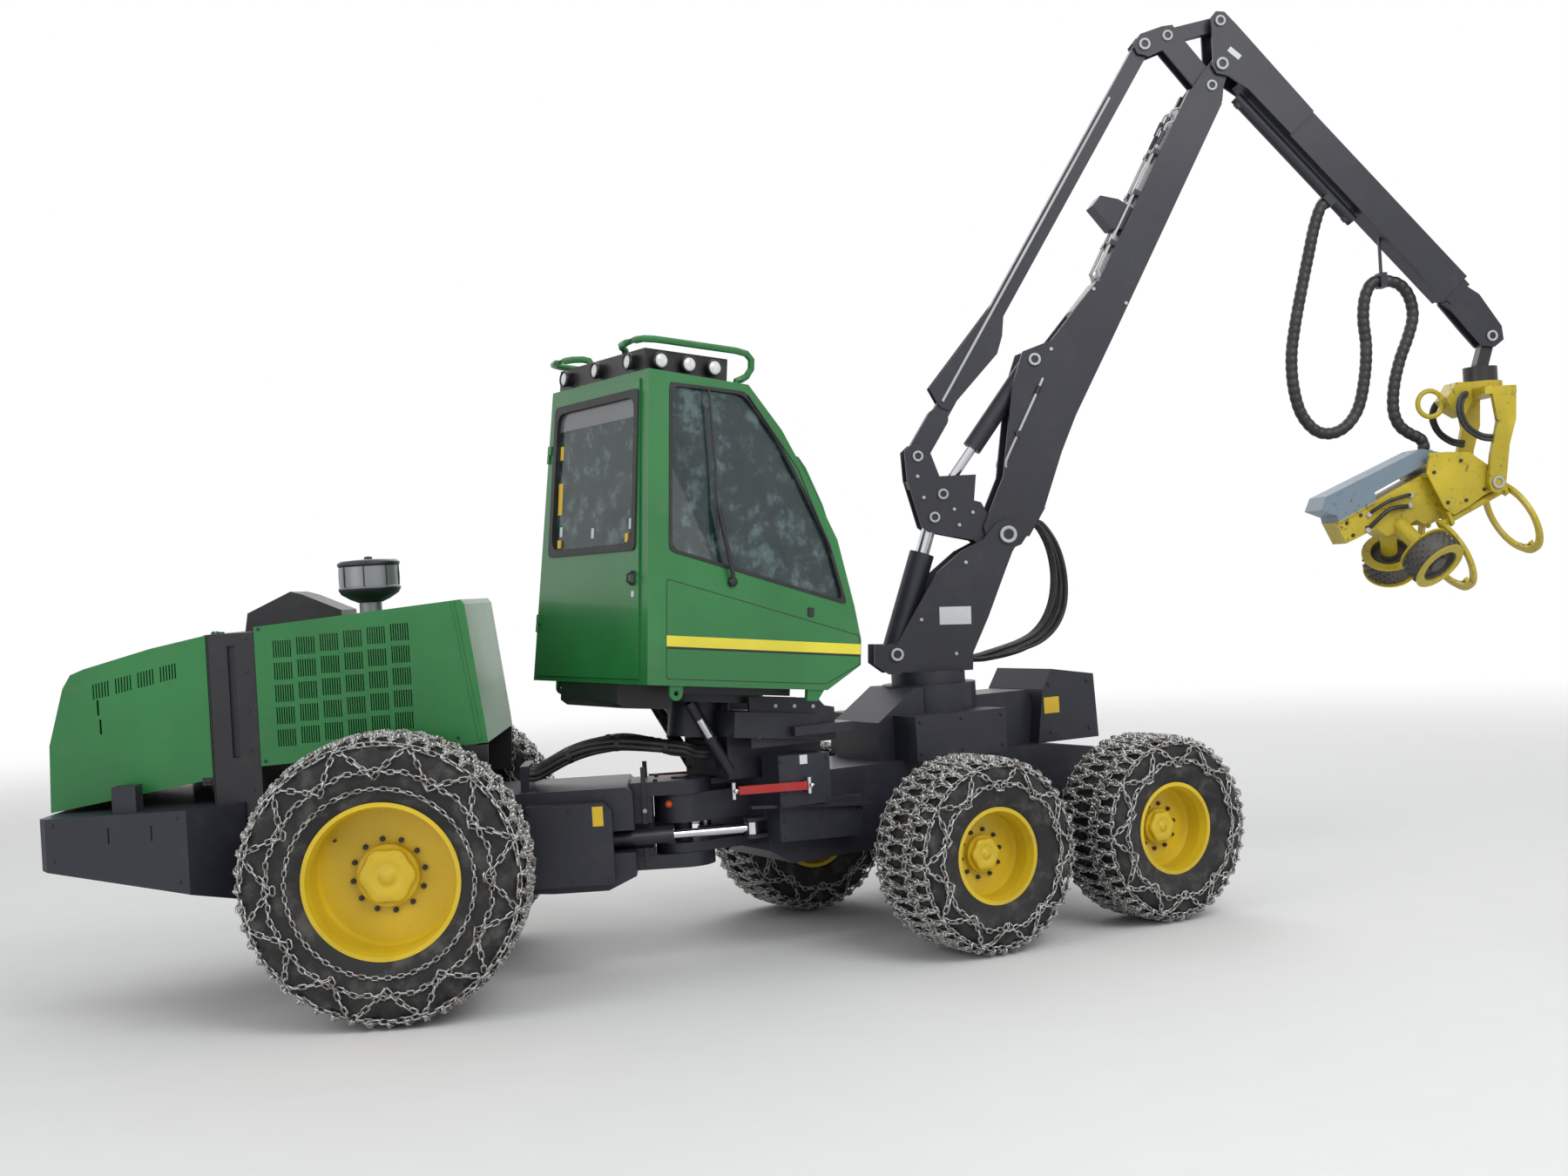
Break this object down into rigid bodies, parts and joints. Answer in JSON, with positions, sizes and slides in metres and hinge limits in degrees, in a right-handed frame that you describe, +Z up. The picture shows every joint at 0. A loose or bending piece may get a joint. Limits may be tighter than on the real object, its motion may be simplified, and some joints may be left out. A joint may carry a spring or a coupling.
{
  "type": "forestry harvester",
  "caption": "Articulated wheeled forestry harvester with rear engine, swinging cab, parallel-linkage crane with telescopic stick, and a felling head with knives and feed rollers.",
  "frame": {"origin": "on the ground under the middle of the rear axle", "axes": "+X forwards along the rear frame, +Y to the left, +Z up"},
  "size_m": [10.223, 4.2706, 6.335],
  "materials": {
    "green_paint": "semi-gloss paint",
    "yellow_paint": "semi-gloss paint",
    "dark_paint": "satin paint",
    "black_paint": "satin paint",
    "chrome": "polished hard chrome",
    "tyre": "dull rubber with bright worn chains",
    "glass": "clear polycarbonate",
    "hose": "dull black hose",
    "seat": "dark upholstery",
    "metallic": "grey metallic paint",
    "iron": "raw casting",
    "steel": "worn bright steel"
  },
  "bodies": {
    "rear_frame": {"rear_chassis": "dark_paint", "rear_axle": "dark_paint", "engine_block": "iron", "engine_cover": "green_paint", "cooler_pillar": "black_paint", "bumper_box": "dark_paint", "air_cleaner": "metallic", "joint_hoses": "hose"},
    "hood": {"rear_hood": "green_paint"},
    "rear_wheel_right": {"rear_tyre_right": "tyre", "rear_rim_right": "yellow_paint"},
    "rear_wheel_left": {"rear_tyre_left": "tyre", "rear_rim_left": "yellow_paint"},
    "front_frame": {"front_chassis": "dark_paint", "crane_base": "dark_paint", "side_lockers": "dark_paint", "cab_carrier": "dark_paint"},
    "bogie_right": {"bogie_right": "dark_paint"},
    "bogie_left": {"bogie_left": "dark_paint"},
    "cab": {"cab_shell": "green_paint", "cab_glass": "glass", "cab_seat": "seat", "cab_subframe": "dark_paint", "lamp_bar": "black_paint", "cab_rails": "green_paint"},
    "door": {"cab_door": "green_paint", "door_glass": "glass"},
    "column": {"crane_column": "dark_paint", "column_hoses": "hose"},
    "stick": {"stick_boom": "dark_paint", "stick_hoses": "hose"},
    "head": {"head_frame": "yellow_paint"},
    "steer_barrel_right": {"steer_barrel_right": "dark_paint"},
    "steer_rod_right": {"steer_rod_right": "chrome"},
    "wheel_right_1": {"tyre_right_1": "tyre", "rim_right_1": "yellow_paint"},
    "wheel_right_2": {"tyre_right_2": "tyre", "rim_right_2": "yellow_paint"},
    "knife_right": {"knife_right": "yellow_paint"},
    "roller_right": {"roller_right": "steel"},
    "steer_barrel_left": {"steer_barrel_left": "dark_paint"},
    "steer_rod_left": {"steer_rod_left": "chrome"},
    "wheel_left_1": {"tyre_left_1": "tyre", "rim_left_1": "yellow_paint"},
    "wheel_left_2": {"tyre_left_2": "tyre", "rim_left_2": "yellow_paint"},
    "knife_left": {"knife_left": "yellow_paint"},
    "roller_left": {"roller_left": "steel"},
    "lift_barrel": {"lift_barrel": "dark_paint"},
    "lift_rod": {"lift_rod": "chrome"},
    "rocker": {"rocker": "dark_paint"},
    "main_boom": {"main_boom": "dark_paint"},
    "knuckle_barrel": {"knuckle_barrel": "dark_paint"},
    "knuckle_rod": {"knuckle_rod": "chrome"},
    "rear_bar": {"rear_bar": "dark_paint"},
    "link_lever": {"link_lever": "dark_paint"},
    "stick_link": {"stick_link": "dark_paint"},
    "extension": {"extension": "dark_paint"},
    "hanger": {"hanger": "black_paint"},
    "tilt_frame": {"tilt_frame": "yellow_paint"}
  },
  "joints": [
    {"name": "hood_lid", "type": "hinge", "parent": "rear_frame", "child": "hood", "pos_m": [-1.083, 0, 2.318], "axis": [0, 1, 0], "range_deg": [0, 60]},
    {"name": "rear_wheel_right", "type": "hinge", "parent": "rear_frame", "child": "rear_wheel_right", "pos_m": [0, -1.12, 0.85], "axis": [0, 1, 0], "continuous": true},
    {"name": "rear_wheel_left", "type": "hinge", "parent": "rear_frame", "child": "rear_wheel_left", "pos_m": [0, 1.12, 0.85], "axis": [0, 1, 0], "continuous": true},
    {"name": "steer", "type": "hinge", "parent": "rear_frame", "child": "front_frame", "pos_m": [1.72, 0, 0.95], "axis": [0, 0, 1], "range_deg": [-69.4, 14.6], "deforming": ["joint_hoses"]},
    {"name": "steer_barrel_right", "type": "hinge", "parent": "rear_frame", "child": "steer_barrel_right", "pos_m": [1, -0.33, 0.86], "axis": [0, 0, 1], "range_deg": [-30.44, 30.44]},
    {"name": "steer_rod_right", "type": "slide", "parent": "steer_barrel_right", "child": "steer_rod_right", "axis": [0.9871, 0.1601, 0], "range_m": [-0.42, 0.42]},
    {"name": "steer_barrel_left", "type": "hinge", "parent": "rear_frame", "child": "steer_barrel_left", "pos_m": [1, 0.33, 0.86], "axis": [0, 0, 1], "range_deg": [-30.14, 30.14]},
    {"name": "steer_rod_left", "type": "slide", "parent": "steer_barrel_left", "child": "steer_rod_left", "axis": [0.9912, 0.1322, 0], "range_m": [-0.42, 0.42]},
    {"name": "bogie_right", "type": "hinge", "parent": "front_frame", "child": "bogie_right", "pos_m": [4.02559, 0.46297, 0.7], "axis": [-0.4602, 0.8878, 0], "range_deg": [-15, 15]},
    {"name": "wheel_right_1", "type": "hinge", "parent": "bogie_right", "child": "wheel_right_1", "pos_m": [3.5849, -0.29485, 0.63], "axis": [-0.4602, 0.8878, 0], "continuous": true},
    {"name": "wheel_right_2", "type": "hinge", "parent": "bogie_right", "child": "wheel_right_2", "pos_m": [4.89887, 0.38625, 0.63], "axis": [-0.4602, 0.8878, 0], "continuous": true},
    {"name": "bogie_left", "type": "hinge", "parent": "front_frame", "child": "bogie_left", "pos_m": [3.42733, 1.61713, 0.7], "axis": [-0.4602, 0.8878, 0], "range_deg": [-15, 15]},
    {"name": "wheel_left_1", "type": "hinge", "parent": "bogie_left", "child": "wheel_left_1", "pos_m": [2.55406, 1.69386, 0.63], "axis": [-0.4602, 0.8878, 0], "continuous": true},
    {"name": "wheel_left_2", "type": "hinge", "parent": "bogie_left", "child": "wheel_left_2", "pos_m": [3.86802, 2.37495, 0.63], "axis": [-0.4602, 0.8878, 0], "continuous": true},
    {"name": "cab_swing", "type": "hinge", "parent": "front_frame", "child": "cab", "pos_m": [1.87981, 0.08284, 1.783], "axis": [0.0928, 0.0481, 0.9945], "range_deg": [-82.6, 77.4]},
    {"name": "cab_door", "type": "hinge", "parent": "cab", "child": "door", "pos_m": [0.89419, 0.31344, 2.76878], "axis": [-0.1258, 0.0096, -0.992], "range_deg": [0, 38]},
    {"name": "slew", "type": "hinge", "parent": "front_frame", "child": "column", "pos_m": [3.49563, 0.9204, 1.662], "axis": [0, 0, 1], "range_deg": [-86.6, 133.4]},
    {"name": "lift", "type": "hinge", "parent": "column", "child": "rocker", "pos_m": [4.09417, 0.96225, 2.675], "axis": [0.0698, -0.9976, 0], "range_deg": [-40, 11], "deforming": ["column_hoses"]},
    {"name": "lift_barrel", "type": "hinge", "parent": "column", "child": "lift_barrel", "pos_m": [3.25622, 0.90366, 1.88], "axis": [0.0698, -0.9976, 0], "range_deg": [-6, 6]},
    {"name": "lift_rod", "type": "slide", "parent": "lift_barrel", "child": "lift_rod", "axis": [0.3333, 0.0233, 0.9425], "range_m": [-0.2, 0.45]},
    {"name": "knuckle", "type": "hinge", "parent": "rocker", "child": "main_boom", "pos_m": [4.09417, 0.96225, 2.675], "axis": [-0.0698, 0.9976, 0], "range_deg": [-15, 30]},
    {"name": "knuckle_barrel", "type": "hinge", "parent": "main_boom", "child": "knuckle_barrel", "pos_m": [4.36351, 0.98109, 3.9], "axis": [0.0698, -0.9976, 0], "range_deg": [-5, 5]},
    {"name": "knuckle_rod", "type": "slide", "parent": "knuckle_barrel", "child": "knuckle_rod", "axis": [-0.6089, -0.0426, -0.7921], "range_m": [-0.2, 0.4]},
    {"name": "rear_bar", "type": "hinge", "parent": "rocker", "child": "rear_bar", "pos_m": [3.49563, 0.9204, 3.26], "axis": [0.0698, -0.9976, 0], "range_deg": [-40, 20]},
    {"name": "link_lever", "type": "hinge", "parent": "main_boom", "child": "link_lever", "pos_m": [5.78704, 1.08063, 5.811], "axis": [0.0698, -0.9976, 0], "range_deg": [-30, 55]},
    {"name": "stick", "type": "hinge", "parent": "main_boom", "child": "stick", "pos_m": [5.86285, 1.08593, 5.956], "axis": [0.0698, -0.9976, 0], "range_deg": [-35, 70]},
    {"name": "stick_link", "type": "hinge", "parent": "link_lever", "child": "stick_link", "pos_m": [5.48876, 1.05977, 6.183], "axis": [0.0698, -0.9976, 0], "range_deg": [-20, 12]},
    {"name": "extension", "type": "slide", "parent": "stick", "child": "extension", "axis": [0.6653, 0.0465, -0.7451], "range_m": [0, 1.4], "deforming": ["stick_hoses"]},
    {"name": "hanger_swing", "type": "hinge", "parent": "extension", "child": "hanger", "pos_m": [7.80511, 1.22175, 3.93], "axis": [-0.0698, 0.9976, 0], "range_deg": [-66, 50]},
    {"name": "rotator", "type": "hinge", "parent": "hanger", "child": "tilt_frame", "pos_m": [7.73528, 1.21687, 3.7], "axis": [0, 0, 1], "continuous": true},
    {"name": "head_tilt", "type": "hinge", "parent": "tilt_frame", "child": "head", "pos_m": [7.67542, 1.21268, 2.85], "axis": [0.0698, -0.9976, 0], "range_deg": [-25, 65]},
    {"name": "knife_right", "type": "hinge", "parent": "head", "child": "knife_right", "pos_m": [7.54195, 1.03794, 2.68844], "axis": [0.9041, 0.0632, 0.4226], "range_deg": [-45, 5]},
    {"name": "knife_left", "type": "hinge", "parent": "head", "child": "knife_left", "pos_m": [7.51893, 1.36714, 2.68844], "axis": [0.9041, 0.0632, 0.4226], "range_deg": [-5, 45]},
    {"name": "roller_right", "type": "hinge", "parent": "head", "child": "roller_right", "pos_m": [7.13994, 0.84443, 2.33515], "axis": [-0.3678, 0.6186, 0.6943], "continuous": true},
    {"name": "roller_left", "type": "hinge", "parent": "head", "child": "roller_left", "pos_m": [7.0939, 1.50282, 2.33515], "axis": [-0.2781, -0.6638, 0.6943], "continuous": true}
  ],
  "couplings": [
    {"joint": "steer_barrel_right", "follows": "steer", "ratio": 0.3074},
    {"joint": "steer_rod_right", "follows": "steer", "m_per_rad": 0.31908},
    {"joint": "steer_barrel_left", "follows": "steer", "ratio": 0.3024},
    {"joint": "steer_rod_left", "follows": "steer", "m_per_rad": -0.32991},
    {"joint": "lift_barrel", "follows": "lift", "ratio": 0.08188},
    {"joint": "lift_rod", "follows": "lift", "m_per_rad": -0.51033},
    {"joint": "knuckle_barrel", "follows": "knuckle", "ratio": 0.07639},
    {"joint": "knuckle_rod", "follows": "knuckle", "m_per_rad": 0.51893},
    {"joint": "rear_bar", "follows": "knuckle", "ratio": -1.073},
    {"joint": "link_lever", "follows": "knuckle", "ratio": 1.5624},
    {"joint": "stick", "follows": "knuckle", "ratio": 2.0858},
    {"joint": "stick_link", "follows": "knuckle", "ratio": -0.4674},
    {"joint": "knife_left", "follows": "knife_right", "ratio": -1}
  ]
}
